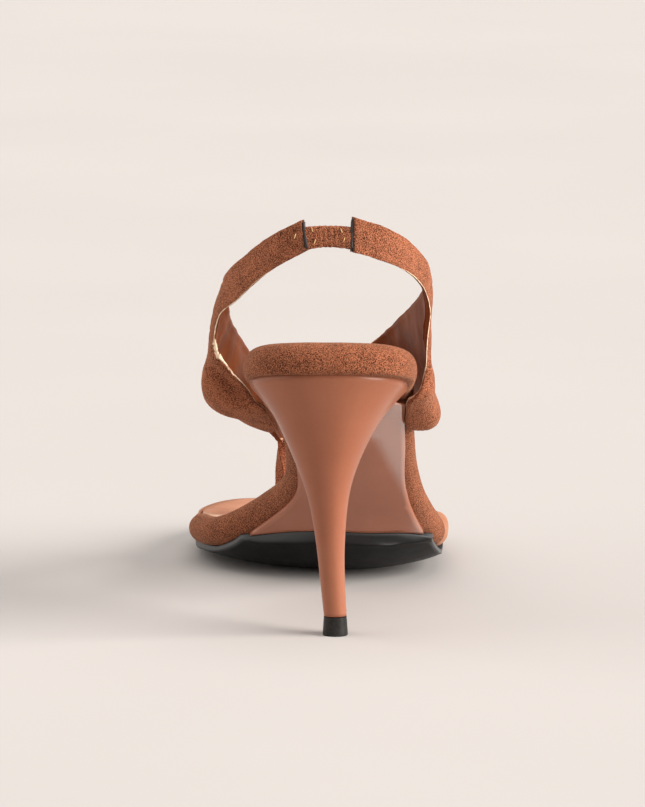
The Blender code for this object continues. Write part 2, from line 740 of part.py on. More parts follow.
def set_origin(pieces):
    """Move every piece so that the origin is on the floor under the middle of the shoe's box."""
    corners = [vert.co for piece in pieces for vert in piece.data.vertices]
    middle_x = (min(c.x for c in corners) + max(c.x for c in corners)) / 2.0
    middle_y = (min(c.y for c in corners) + max(c.y for c in corners)) / 2.0
    for piece in pieces:
        piece.location = (-middle_x, -middle_y, 0.0)


def main():
    """Clear the scene and make every piece."""
    for old in list(bpy.data.objects):
        bpy.data.objects.remove(old)
    suede = make_finish("brown_suede", (0.33, 0.16, 0.09), 0.95)
    tan = make_finish("tan_lining", (0.46, 0.27, 0.18), 0.6)
    lacquer = make_finish("caramel_lacquer", (0.42, 0.20, 0.12), 0.25)
    rubber = make_finish("black_rubber", (0.02, 0.02, 0.022), 0.6)
    pieces = [
        make_top_lift(rubber),
        make_heel(lacquer),
        make_waist_sole(lacquer),
        make_forefoot_sole(rubber),
        make_footbed(suede),
        make_insole(tan),
        make_back_elastic(suede)]
    pieces.extend(make_upper(suede))
    set_origin(pieces)


main()
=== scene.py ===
"""Looks of the slingback stiletto sandal: suede, lining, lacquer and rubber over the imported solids.

Sizes are in millimetres in the shoe's own axes, as a shoemaker would measure it: x to the outer side of the
foot from the middle of the heel seat, y to the toe from the back of the seat, and z up from the floor. The
Seat class turns them into metres in the frame.
"""

import json
import logging
import math
from collections.abc import Iterator
from contextlib import contextmanager
from dataclasses import dataclass
from enum import Enum
from typing import Any

import bpy
import numpy as np
from mathutils import Matrix, Vector, noise
from mathutils.bvhtree import BVHTree
from mathutils.kdtree import KDTree


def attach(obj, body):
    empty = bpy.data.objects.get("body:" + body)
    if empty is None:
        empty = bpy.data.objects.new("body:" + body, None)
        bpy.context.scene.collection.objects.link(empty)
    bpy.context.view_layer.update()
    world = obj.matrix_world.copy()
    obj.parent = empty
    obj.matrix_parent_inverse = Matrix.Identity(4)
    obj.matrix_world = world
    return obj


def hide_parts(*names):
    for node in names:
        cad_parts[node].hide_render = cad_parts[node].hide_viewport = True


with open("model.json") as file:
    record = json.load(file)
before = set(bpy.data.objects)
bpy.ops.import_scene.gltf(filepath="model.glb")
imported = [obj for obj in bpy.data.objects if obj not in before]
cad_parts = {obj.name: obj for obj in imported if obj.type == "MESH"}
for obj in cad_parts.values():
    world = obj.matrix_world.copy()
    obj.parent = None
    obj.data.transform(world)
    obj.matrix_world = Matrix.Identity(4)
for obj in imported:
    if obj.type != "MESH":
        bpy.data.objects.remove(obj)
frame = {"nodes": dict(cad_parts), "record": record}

LOG = logging.getLogger("sandal")
MM = 0.001
BODY = "root"
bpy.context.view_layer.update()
HEEL_TIP_FROM_SEAT = (1.7, 22.73, 0.0)
UP = np.array((0.0, 0.0, 1.0))
LEVEL = np.array((1.0, 1.0, 0.0))

MERGE_DISTANCE = 1.0e-6
SHORTEST = 1.0e-6
SMALLEST_AREA = 1.0e-12
QUAD_FACE_DEG = 50.0
QUAD_SHAPE_DEG = 60.0
BEVEL_STEPS = 2

MIX_FACTOR = 0
MIX_FIRST = 6
MIX_SECOND = 7
MIX_RESULT = 2

Colour = tuple[float, float, float]
Point = tuple[float, float, float]
Span = tuple[float, float]


class Slot(Enum):
    """Material slots of the record."""

    RUBBER = "black_rubber"
    LACQUER = "caramel_lacquer"
    SUEDE = "brown_suede"
    LINING = "tan_lining"


class Side(Enum):
    """Side of the foot, with its place in lists that go from the inner to the outer side."""

    INNER = 0
    OUTER = 1


class Detail(Enum):
    """How much fine detail a noise has on top of its main lumps."""

    SOFT = 2.0
    PLAIN = 3.0
    FINE = 4.0


@dataclass(frozen=True)
class Seat:
    """The shoe's own axes in the frame."""

    origin: Vector

    @classmethod
    def from_frame(cls) -> "Seat":
        """Find the axes from the heel tip's mount in the record."""
        tip = next(mount for mount in frame["record"]["mounts"] if mount["name"] == "heel_tip")
        return cls(Vector(tip["pos_m"]) - Vector(HEEL_TIP_FROM_SEAT) * MM)

    def place(self, point: Point) -> Vector:
        """Give the place in the frame, in metres, of a point in the shoe's own millimetres."""
        return self.origin + Vector(point) * MM

    def own(self, places: np.ndarray) -> np.ndarray:
        """Give the shoe's own millimetres of places in the frame."""
        return (places - np.array(self.origin)) / MM


SEAT = Seat.from_frame()


@dataclass(frozen=True)
class Layer:
    """One layer of noise in a material: the size of its lumps, its weight and its detail."""

    size: float
    weight: float = 1.0
    detail: Detail = Detail.PLAIN


class Shade:
    """A value of a node tree that takes part in Python expressions."""

    def __init__(self, graph: "Graph", socket: bpy.types.NodeSocket) -> None:
        """Wrap a socket of a graph."""
        self.graph = graph
        self.socket = socket

    def _math(self, operation: str, first: Any, second: Any) -> "Shade":
        """Add a Math node of two operands."""
        return self.graph.node("ShaderNodeMath", {"operation": operation}, {0: first, 1: second})

    def __add__(self, other: Any) -> "Shade":
        """Sum of two values."""
        return self._math("ADD", self, other)

    def __radd__(self, other: Any) -> "Shade":
        """Sum of two values."""
        return self._math("ADD", other, self)

    def __sub__(self, other: Any) -> "Shade":
        """Difference of two values."""
        return self._math("SUBTRACT", self, other)

    def __rsub__(self, other: Any) -> "Shade":
        """Difference of two values."""
        return self._math("SUBTRACT", other, self)

    def __mul__(self, other: Any) -> "Shade":
        """Product of two values."""
        return self._math("MULTIPLY", self, other)

    def __rmul__(self, other: Any) -> "Shade":
        """Product of two values."""
        return self._math("MULTIPLY", other, self)

    def ramp(self, low: float, high: float) -> "Shade":
        """Give 0 up to low and 1 from high, eased between them.

        Args:
            low: Value that gives 0.
            high: Value that gives 1.

        Returns:
            The eased share.
        """
        settings = {"interpolation_type": "SMOOTHSTEP"}
        sockets = {"Value": self, "From Min": low, "From Max": high}
        return self.graph.node("ShaderNodeMapRange", settings, sockets)


class Graph:
    """Node tree of one material, with its Principled shader."""

    def __init__(self, name: str) -> None:
        """Start a material.

        Args:
            name: The material's name.
        """
        self.material = bpy.data.materials.new(name)
        self.material.use_nodes = True
        self.tree = self.material.node_tree
        self.shader = self.tree.nodes["Principled BSDF"]
        self.coordinates = self.node("ShaderNodeTexCoord", {}, {}, "Object")

    def node(self, kind: str, settings: dict[str, Any], sockets: dict[Any, Any], output: Any = 0) -> Shade:
        """Add a node.

        Args:
            kind: The node's type.
            settings: Its properties, set before its sockets.
            sockets: Values or links of its input sockets, by name or number.
            output: Name or number of the output that is wanted.

        Returns:
            The wanted output.
        """
        made = self.tree.nodes.new(kind)
        for key, value in settings.items():
            setattr(made, key, value)
        for key, value in sockets.items():
            self.feed(made.inputs[key], value)
        return Shade(self, made.outputs[output])

    def feed(self, socket: bpy.types.NodeSocket, value: Any) -> None:
        """Link a value to a socket, or set it there.

        Args:
            socket: The input socket.
            value: A value of the tree, a number or a colour.
        """
        if isinstance(value, Shade):
            self.tree.links.new(value.socket, socket)
        elif socket.type == "RGBA":
            socket.default_value = (*value, 1.0)
        else:
            socket.default_value = value

    def set(self, **inputs: Any) -> None:
        """Feed inputs of the Principled shader, named with _ for a space."""
        for name, value in inputs.items():
            self.feed(self.shader.inputs[name.replace("_", " ").title().replace("Ior", "IOR")], value)

    def cloud(self, size: float, detail: Detail = Detail.PLAIN) -> Shade:
        """Noise with lumps of about the given size."""
        sockets = {"Vector": self.coordinates, "Scale": 1.0 / (size * MM), "Detail": detail.value}
        return self.node("ShaderNodeTexNoise", {}, sockets)

    def layered(self, layers: tuple[Layer, ...]) -> Shade:
        """Add up layers of noise by their weights."""
        first, *others = (self.cloud(layer.size, layer.detail) * layer.weight for layer in layers)
        return sum(others, first)

    def uneven(self, middle: float, layer: Layer) -> Shade:
        """Give a value that wanders about a middle one, by a layer's weight in all."""
        return self.layered((layer,)) + (middle - layer.weight / 2.0)

    def cells(self, size: float) -> Shade:
        """Distance to the middle of cells of about the given size."""
        sockets = {"Vector": self.coordinates, "Scale": 1.0 / (size * MM)}
        return self.node("ShaderNodeTexVoronoi", {}, sockets)

    def mix(self, factor: Any, first: Any, second: Any) -> Shade:
        """Mix two colours."""
        sockets = {MIX_FACTOR: factor, MIX_FIRST: first, MIX_SECOND: second}
        return self.node("ShaderNodeMix", {"data_type": "RGBA"}, sockets, MIX_RESULT)

    def attribute(self, name: str) -> Shade:
        """Read a number that is stored at the mesh's points, and is 0 where the mesh has none."""
        return self.node("ShaderNodeAttribute", {"attribute_name": name}, {}, "Fac")

    def over(self, factor: Shade) -> None:
        """Start a second Principled shader, which covers the first one.

        Args:
            factor: How far it covers the first one.
        """
        first = Shade(self, self.shader.outputs["BSDF"])
        self.shader = self.tree.nodes.new("ShaderNodeBsdfPrincipled")
        second = Shade(self, self.shader.outputs["BSDF"])
        mixed = self.node("ShaderNodeMixShader", {}, {0: factor, 1: first, 2: second})
        self.tree.links.new(mixed.socket, self.tree.nodes["Material Output"].inputs["Surface"])

    def bump(self, height: Shade, depth: float, strength: float) -> None:
        """Feed the shader's normal from a height."""
        sockets = {"Height": height, "Distance": depth * MM, "Strength": strength}
        self.set(normal=self.node("ShaderNodeBump", {}, sockets))


@dataclass(frozen=True)
class TwoTone:
    """A finish that wanders between a deep and a light colour."""

    deep: Colour
    light: Colour
    tones: tuple[Layer, ...]
    tone_span: Span

    def tone(self, graph: Graph) -> Shade:
        """Give the share of the light colour."""
        return graph.layered(self.tones).ramp(*self.tone_span)

    def colour(self, graph: Graph) -> Shade:
        """Give the colour."""
        return graph.mix(self.tone(graph), self.deep, self.light)


@dataclass(frozen=True)
class Suede(TwoTone):
    """Short napped suede with a fine grain and soft brushed patches."""

    deep: Colour = (0.074, 0.021, 0.009)
    light: Colour = (0.41, 0.143, 0.071)
    tones: tuple[Layer, ...] = (Layer(0.30, 0.86, Detail.SOFT), Layer(1.1, 0.05), Layer(9.0, 0.09))
    tone_span: Span = (0.42, 0.58)
    nap: tuple[Layer, ...] = (Layer(0.30, 0.6, Detail.FINE), Layer(1.1, 0.4))
    nap_depth: float = 0.35
    nap_strength: float = 0.8
    roughness: float = 0.95
    specular: float = 0.15
    sheen: float = 0.20
    sheen_roughness: float = 0.45
    sheen_tint: Colour = (0.90, 0.52, 0.34)

    def height(self, graph: Graph) -> Shade:
        """Give the nap's height."""
        return graph.layered(self.nap)

    def lay(self, graph: Graph, colour: Shade, roughness: Any, height: Shade) -> None:
        """Set the look of suede on a graph's shader.

        Args:
            graph: The material's node tree.
            colour: Its colour.
            roughness: Its roughness, a number or a value of the tree.
            height: Its nap's height.
        """
        graph.set(base_color=colour, roughness=roughness, specular_ior_level=self.specular)
        graph.set(sheen_weight=self.sheen, sheen_roughness=self.sheen_roughness, sheen_tint=self.sheen_tint)
        graph.bump(height, self.nap_depth, self.nap_strength)

    def dress(self, name: str) -> bpy.types.Material:
        """Make the material.

        Args:
            name: Its name.

        Returns:
            The material.
        """
        graph = Graph(name)
        self.lay(graph, self.colour(graph), self.roughness, self.height(graph))
        return graph.material


@dataclass(frozen=True)
class Lining(TwoTone):
    """Smooth tan lining with a faint grain, paler where the mesh says that it is worn."""

    deep: Colour = (0.37, 0.158, 0.089)
    light: Colour = (0.47, 0.217, 0.133)
    tones: tuple[Layer, ...] = (Layer(14.0, 0.75), Layer(0.9, 0.25))
    tone_span: Span = (0.32, 0.68)
    grain_size: float = 0.9
    grain_share: float = 0.5
    swell: Layer = Layer(2.5, 0.5)
    relief_depth: float = 0.12
    relief_strength: float = 0.35
    roughness: float = 0.5
    roughness_swing: Layer = Layer(5.0, 0.16)
    specular: float = 0.12
    worn: Colour = (0.70, 0.50, 0.35)
    worn_patch: Layer = Layer(1.6, 1.0, Detail.FINE)
    worn_span: Span = (0.35, 0.6)

    def lay(self, graph: Graph, colour: Shade) -> None:
        """Set the look of lining on a graph's shader.

        Args:
            graph: The material's node tree.
            colour: Its colour.
        """
        graph.set(base_color=colour, specular_ior_level=self.specular)
        graph.set(roughness=graph.uneven(self.roughness, self.roughness_swing))
        height = graph.cells(self.grain_size) * self.grain_share + graph.layered((self.swell,))
        graph.bump(height, self.relief_depth, self.relief_strength)

    def dress(self, name: str) -> bpy.types.Material:
        """Make the material.

        Args:
            name: Its name.

        Returns:
            The material.
        """
        graph = Graph(name)
        worn = graph.attribute("worn") * graph.layered((self.worn_patch,)).ramp(*self.worn_span)
        self.lay(graph, graph.mix(worn, self.colour(graph), self.worn))
        return graph.material


@dataclass(frozen=True)
class Lacquer(TwoTone):
    """Smooth caramel lacquer, with a clear coat where the mesh says that it is polished."""

    deep: Colour = (0.275, 0.092, 0.047)
    light: Colour = (0.305, 0.108, 0.057)
    tones: tuple[Layer, ...] = (Layer(22.0, 0.8, Detail.SOFT), Layer(1.2, 0.2, Detail.SOFT))
    tone_span: Span = (0.3, 0.7)
    roughness: float = 0.41
    roughness_swing: Layer = Layer(9.0, 0.1)
    specular: float = 0.1
    coat: float = 0.3
    coat_roughness: float = 0.25
    coat_ior: float = 1.5
    ripple: Layer = Layer(3.5, 1.0, Detail.SOFT)
    relief_depth: float = 0.02
    relief_strength: float = 0.25

    def dress(self, name: str) -> bpy.types.Material:
        """Make the material.

        Args:
            name: Its name.

        Returns:
            The material.
        """
        graph = Graph(name)
        graph.set(base_color=self.colour(graph), specular_ior_level=self.specular)
        graph.set(roughness=graph.uneven(self.roughness, self.roughness_swing))
        graph.set(coat_weight=graph.attribute("polish") * self.coat)
        graph.set(coat_roughness=self.coat_roughness, coat_ior=self.coat_ior)
        graph.bump(graph.layered((self.ripple,)), self.relief_depth, self.relief_strength)
        return graph.material


@dataclass(frozen=True)
class Rubber(TwoTone):
    """Black sole rubber with a fine matt skin, darkened past the rubber's own black as painted shade under
    the sole, and greyer where the mesh says that it is a side wall, as a painted highlight.
    """

    # Near black, darker than the rubber itself: painted shade for the sole's underside.
    deep: Colour = (0.004, 0.004, 0.004)
    light: Colour = (0.010, 0.010, 0.010)
    tones: tuple[Layer, ...] = (Layer(6.0, 0.6), Layer(0.7, 0.4))
    tone_span: Span = (0.3, 0.7)
    # Painted highlight on the side walls.
    wall: Colour = (0.075, 0.077, 0.078)
    roughness: float = 0.42
    roughness_swing: Layer = Layer(4.0, 0.2)
    specular: float = 0.14
    skin: Layer = Layer(0.5)
    relief_depth: float = 0.08
    relief_strength: float = 0.3

    def dress(self, name: str) -> bpy.types.Material:
        """Make the material.

        Args:
            name: Its name.

        Returns:
            The material.
        """
        graph = Graph(name)
        colour = graph.mix(graph.attribute("wall"), self.colour(graph), self.wall)
        graph.set(base_color=colour, specular_ior_level=self.specular)
        graph.set(roughness=graph.uneven(self.roughness, self.roughness_swing))
        graph.bump(graph.layered((self.skin,)), self.relief_depth, self.relief_strength)
        return graph.material


@dataclass(frozen=True)
class Thread:
    """Twisted sewing thread, or a glued dark edge, of one colour with darker flecks."""

    colour: Colour
    dark_share: float = 0.55
    fleck: Layer = Layer(0.5)
    fleck_span: Span = (0.3, 0.7)
    roughness: float = 0.6
    roughness_swing: Layer = Layer(0.8, 0.2)
    twist: Layer = Layer(0.35)
    relief_depth: float = 0.1
    relief_strength: float = 0.5

    def dress(self, name: str) -> bpy.types.Material:
        """Make the material.

        Args:
            name: Its name.

        Returns:
            The material.
        """
        graph = Graph(name)
        dark = tuple(part * self.dark_share for part in self.colour)
        tone = graph.layered((self.fleck,)).ramp(*self.fleck_span)
        graph.set(base_color=graph.mix(tone, dark, self.colour))
        graph.set(roughness=graph.uneven(self.roughness, self.roughness_swing))
        graph.bump(graph.layered((self.twist,)), self.relief_depth, self.relief_strength)
        return graph.material


def ease(part: np.ndarray) -> np.ndarray:
    """Smooth step from 0 to 1."""
    part = np.clip(part, 0.0, 1.0)
    return part * part * (3.0 - 2.0 * part)


@dataclass(frozen=True)
class ToeWrap:
    """Suede wrap of the footbed, with the smooth toe cover in front of a slanting seam and a painted shadow
    along the seam.
    """

    suede: Suede
    cover: Lining
    inner_seam: Span = (-25.0, 153.5)
    outer_seam: Span = (15.0, 121.0)
    change: float = 0.2
    # Painted shadow: a dark band just behind the seam and on it, where the gap between wrap and cover is
    # shaded.
    seam_shadow_from: Span = (-1.9, -1.5)
    seam_shadow_to: Span = (0.4, 0.7)
    seam_shadow_colour: Colour = (0.05, 0.018, 0.010)
    seam_shadow_share: float = 0.85
    cover_smoother: float = 0.4
    cover_flatter: float = 0.85

    def ahead(self, points: np.ndarray) -> np.ndarray:
        """Give how far points lie in front of the seam, which steps back across the foot.

        Args:
            points: Points in the shoe's own millimetres.

        Returns:
            The distance of each one, in millimetres.
        """
        (x0, y0), (x1, y1) = self.inner_seam, self.outer_seam
        return points[:, 1] - (y0 + (y1 - y0) * ease((points[:, 0] - x0) / (x1 - x0)))

    def dress(self, name: str) -> bpy.types.Material:
        """Make the material, split at the seam by the mesh's own measure of it.

        Args:
            name: Its name.

        Returns:
            The material.
        """
        graph = Graph(name)
        ahead = graph.attribute("ahead")
        front = ahead.ramp(-self.change, self.change)
        # Painted shadow of the seam's gap.
        seam_shadow = ahead.ramp(*self.seam_shadow_from) * (1.0 - ahead.ramp(*self.seam_shadow_to)) * self.seam_shadow_share
        colour = graph.mix(front, self.suede.colour(graph), self.cover.colour(graph))
        colour = graph.mix(seam_shadow, colour, self.seam_shadow_colour)
        roughness = self.suede.roughness - front * self.cover_smoother
        height = self.suede.height(graph) * (1.0 - front * self.cover_flatter)
        self.suede.lay(graph, colour, roughness, height)
        return graph.material


@dataclass(frozen=True)
class StrapSkin:
    """Suede outside, lining inside, and a raw cream edge between them, by the mesh's own measure of depth."""

    suede: Suede
    lining: Lining
    cream: Colour = (0.95, 0.76, 0.55)
    tan_edge: Colour = (0.52, 0.27, 0.15)
    glue: Colour = (0.018, 0.012, 0.010)
    fray: Layer = Layer(0.9, 0.4, Detail.FINE)
    edge_span: Span = (0.34, 0.44)
    lining_span: Span = (0.70, 0.80)
    raw_patch: Layer = Layer(2.2)
    glue_patch: Layer = Layer(1.0)
    patch_span: Span = (0.3, 0.5)

    def patchy(self, graph: Graph, name: str, patch: Layer) -> Shade:
        """Give a number of the mesh, broken up by patches."""
        return graph.attribute(name) * graph.layered((patch,)).ramp(*self.patch_span)

    def dress(self, name: str) -> bpy.types.Material:
        """Make the material.

        Args:
            name: Its name.

        Returns:
            The material.
        """
        graph = Graph(name)
        depth = graph.attribute("depth") + graph.uneven(0.0, self.fray)
        # The brush number holds brushed-nap streaks and painted light low on the inner strap.
        tone = self.suede.tone(graph) + graph.attribute("brush")
        colour = graph.mix(tone, self.suede.deep, self.suede.light)
        cut = graph.mix(self.patchy(graph, "raw", self.raw_patch), self.tan_edge, self.cream)
        colour = graph.mix(depth.ramp(*self.edge_span), colour, cut)
        colour = graph.mix(self.patchy(graph, "dark", self.glue_patch), colour, self.glue)
        self.suede.lay(graph, colour, self.suede.roughness, self.suede.height(graph))
        graph.over(depth.ramp(*self.lining_span))
        self.lining.lay(graph, self.lining.colour(graph))
        return graph.material


@dataclass(frozen=True)
class Floor(TwoTone):
    """Plain pale paper sweep."""

    deep: Colour = (0.484, 0.458, 0.441)
    light: Colour = (0.499, 0.472, 0.455)
    tones: tuple[Layer, ...] = (Layer(300.0),)
    tone_span: Span = (0.3, 0.7)
    roughness: float = 0.85
    specular: float = 0.2

    def dress(self, name: str) -> bpy.types.Material:
        """Make the material.

        Args:
            name: Its name.

        Returns:
            The material.
        """
        graph = Graph(name)
        graph.set(base_color=self.colour(graph), roughness=self.roughness, specular_ior_level=self.specular)
        return graph.material


def only(piece: bpy.types.Object) -> None:
    """Select one object alone and make it active.

    Args:
        piece: The object.
    """
    bpy.ops.object.select_all(action="DESELECT")
    piece.select_set(True)
    bpy.context.view_layer.objects.active = piece


@contextmanager
def editing(piece: bpy.types.Object) -> Iterator[None]:
    """Work on one object in edit mode, with all of it selected at first.

    Args:
        piece: The object.
    """
    only(piece)
    bpy.ops.object.mode_set(mode="EDIT")
    bpy.ops.mesh.select_all(action="SELECT")
    yield
    bpy.ops.object.mode_set(mode="OBJECT")


def copy_of(node: str, name: str) -> bpy.types.Object:
    """Copy a solid's mesh into a new object, with its loose triangles merged and paired into quads.

    Args:
        node: The solid's node.
        name: The new object's name.

    Returns:
        The new object.
    """
    mesh = frame["nodes"][node].data.copy()
    mesh.materials.clear()
    piece = bpy.data.objects.new(name, mesh)
    bpy.context.scene.collection.objects.link(piece)
    with editing(piece):
        bpy.ops.mesh.remove_doubles(threshold=MERGE_DISTANCE)
        bpy.ops.mesh.customdata_custom_splitnormals_clear()
        bpy.ops.mesh.tris_convert_to_quads(
            face_threshold=math.radians(QUAD_FACE_DEG), shape_threshold=math.radians(QUAD_SHAPE_DEG))
    return piece


def vectors_of(rows: bpy.types.bpy_prop_collection, key: str) -> np.ndarray:
    """Read one vector from each row of a mesh's list.

    Args:
        rows: The list.
        key: Name of the vector in a row.

    Returns:
        The vectors, one in a row.
    """
    flat = np.zeros(len(rows) * 3, dtype=np.float32)
    rows.foreach_get(key, flat)
    return flat.reshape(-1, 3).astype(float)


def points_of(piece: bpy.types.Object) -> np.ndarray:
    """Give the places of a piece's points in the frame."""
    return vectors_of(piece.data.vertices, "co")


def normals_of(piece: bpy.types.Object) -> np.ndarray:
    """Give the directions square to a piece's surface at its points."""
    return vectors_of(piece.data.vertex_normals, "vector")


def move_points(piece: bpy.types.Object, moves: np.ndarray) -> None:
    """Move each point by its own step.

    Args:
        piece: The object.
        moves: The steps, in millimetres.
    """
    moved = points_of(piece) + moves * MM
    piece.data.vertices.foreach_set("co", moved.astype(np.float32).ravel())
    piece.data.update()


def raise_points(piece: bpy.types.Object, heights: np.ndarray) -> None:
    """Move each point out along the surface's normal, by its own height in millimetres."""
    move_points(piece, normals_of(piece) * heights[:, None])


def store(piece: bpy.types.Object, name: str, values: np.ndarray) -> None:
    """Keep one number for each point of a piece, for its material."""
    layer = piece.data.attributes.get(name) or piece.data.attributes.new(name, "FLOAT", "POINT")
    layer.data.foreach_set("value", values.astype(np.float32))


def stored(piece: bpy.types.Object, name: str) -> np.ndarray:
    """Give back the numbers kept for the points of a piece.

    Args:
        piece: The object.
        name: Name that the numbers were kept under.

    Returns:
        One number for each point.
    """
    values = np.zeros(len(piece.data.vertices), dtype=np.float32)
    piece.data.attributes[name].data.foreach_get("value", values)
    return values


def tree_of(points: np.ndarray) -> KDTree:
    """Make a search tree of points.

    Args:
        points: The points, one in a row.

    Returns:
        The tree, ready for use.
    """
    tree = KDTree(len(points))
    for index, point in enumerate(points):
        tree.insert(point, index)
    tree.balance()
    return tree


def select_sharp(angle_deg: float) -> None:
    """Select the edges sharper than an angle, in edit mode.

    Args:
        angle_deg: The angle.
    """
    bpy.ops.mesh.select_mode(type="EDGE")
    bpy.ops.mesh.select_all(action="DESELECT")
    bpy.ops.mesh.edges_select_sharp(sharpness=math.radians(angle_deg))


def select_rows(piece: bpy.types.Object, kind: str, chosen: np.ndarray) -> None:
    """Select some points or faces of a piece, in edit mode.

    Args:
        piece: The object in edit mode.
        kind: VERT or FACE.
        chosen: Whether each one is selected.
    """
    bpy.ops.mesh.select_mode(type=kind)
    bpy.ops.mesh.select_all(action="DESELECT")
    bpy.ops.object.mode_set(mode="OBJECT")
    rows = piece.data.polygons if kind == "FACE" else piece.data.vertices
    rows.foreach_set("select", chosen)
    bpy.ops.object.mode_set(mode="EDIT")


def crease_sharp(piece: bpy.types.Object, angle_deg: float, crease: float) -> np.ndarray:
    """Hold the edges sharper than an angle when the piece is smoothed.

    Args:
        piece: The object.
        angle_deg: The angle.
        crease: How firmly they are held, from 0 to 1.

    Returns:
        Whether each edge is held.
    """
    with editing(piece):
        select_sharp(angle_deg)
    held = np.zeros(len(piece.data.edges), dtype=bool)
    piece.data.edges.foreach_get("select", held)
    layers = piece.data.attributes
    layer = layers.get("crease_edge") or layers.new("crease_edge", "FLOAT", "EDGE")
    layer.data.foreach_set("value", (held * crease).astype(np.float32))
    return held


def round_sharp(piece: bpy.types.Object, angle_deg: float, radius: float) -> None:
    """Round the edges sharper than an angle.

    Args:
        piece: The object.
        angle_deg: The angle.
        radius: The rounding, in millimetres.
    """
    with editing(piece):
        select_sharp(angle_deg)
        bpy.ops.mesh.bevel(offset=radius * MM, segments=BEVEL_STEPS, affect="EDGES", clamp_overlap=True)


def smoothed(piece: bpy.types.Object, levels: int, fill_out: float = 0.0) -> None:
    """Subdivide a piece into a smooth surface.

    Args:
        piece: The object.
        levels: How often its faces are divided.
        fill_out: Share that its points get back of what smoothing takes off them.
    """
    modifier = piece.modifiers.new("smooth", "SUBSURF")
    modifier.levels = levels
    modifier.render_levels = levels
    wanted = points_of(piece)
    reached = points_of(piece.evaluated_get(bpy.context.evaluated_depsgraph_get()))[:len(wanted)]
    move_points(piece, (wanted - reached) * fill_out / MM)
    only(piece)
    bpy.ops.object.modifier_apply(modifier=modifier.name)
    bpy.ops.object.shade_smooth()


@dataclass(frozen=True)
class Lumps:
    """Soft random unevenness: the size of its lumps, their height and a number that sets the pattern."""

    size: float
    height: float
    pattern: float

    def at(self, points: np.ndarray) -> np.ndarray:
        """Give the heights at points."""
        shift = Vector((self.pattern, -self.pattern, 2.0 * self.pattern))
        return self.height * np.array([noise.noise(Vector(point) / self.size + shift) for point in points])


@dataclass(frozen=True)
class Crease:
    """A soft trough along a line, or a ridge where its depth is below 0."""

    start: Point
    end: Point
    width: float
    depth: float
    fade_ends: Span = (0.02, 0.98)

    def height(self, points: np.ndarray) -> np.ndarray:
        """Give the height that the crease adds at points.

        Args:
            points: Points in the shoe's own millimetres.

        Returns:
            The height at each one, in millimetres.
        """
        start = np.array(self.start)
        run = np.array(self.end) - start
        part = np.clip((points - start) @ run / (run @ run), 0.0, 1.0)
        across = np.linalg.norm(points - start - part[:, None] * run, axis=1)
        fade = np.sqrt(np.sin(np.pi * np.clip(part, *self.fade_ends)))
        return -self.depth * fade * np.exp(-((across / self.width) ** 2))


def press(piece: bpy.types.Object, creases: tuple[Crease, ...]) -> None:
    """Press creases into a piece."""
    points = SEAT.own(points_of(piece))
    raise_points(piece, sum(crease.height(points) for crease in creases))


def show(piece: bpy.types.Object, finish: bpy.types.Material, slot: Slot, *nodes: str) -> bpy.types.Object:
    """Dress a finished piece, fix it to the shoe and hide the solids that it stands for.

    Args:
        piece: The object.
        finish: Its material.
        slot: Its material slot; not used.
        nodes: Nodes of the solids that it replaces.

    Returns:
        The object.
    """
    piece.data.materials.clear()
    piece.data.materials.append(finish)
    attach(piece, BODY)
    if nodes:
        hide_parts(*nodes)
    LOG.info("%s: %d faces", piece.name, len(piece.data.polygons))
    return piece


@dataclass
class HeelUnit:
    """Tall lacquered heel and its rubber top lift."""

    sharp_deg: float = 50.0
    crease: float = 1.0
    heel_levels: int = 2
    seat_rise: float = 0.4
    seat_share: float = 0.7
    lift_edge: float = 0.35
    lift_levels: int = 1

    def build_heel(self, lacquer: bpy.types.Material) -> bpy.types.Object:
        """Make the smooth heel, with its top raised against the seat.

        Args:
            lacquer: Its finish.

        Returns:
            The heel.
        """
        heel = copy_of("heel", "heel_cover")
        crease_sharp(heel, self.sharp_deg, self.crease)
        upward = vectors_of(heel.data.polygons, "normal") @ UP > self.seat_share
        with editing(heel):
            select_rows(heel, "FACE", upward)
            bpy.ops.transform.translate(value=(0.0, 0.0, self.seat_rise * MM))
        smoothed(heel, self.heel_levels)
        store(heel, "polish", np.ones(len(heel.data.vertices)))
        return show(heel, lacquer, Slot.LACQUER, "heel")

    def build_lift(self, rubber: bpy.types.Material) -> bpy.types.Object:
        """Make the top lift, with softened edges.

        Args:
            rubber: Its finish.

        Returns:
            The top lift.
        """
        lift = copy_of("top_lift", "heel_lift")
        round_sharp(lift, self.sharp_deg, self.lift_edge)
        smoothed(lift, self.lift_levels)
        return show(lift, rubber, Slot.RUBBER, "top_lift")


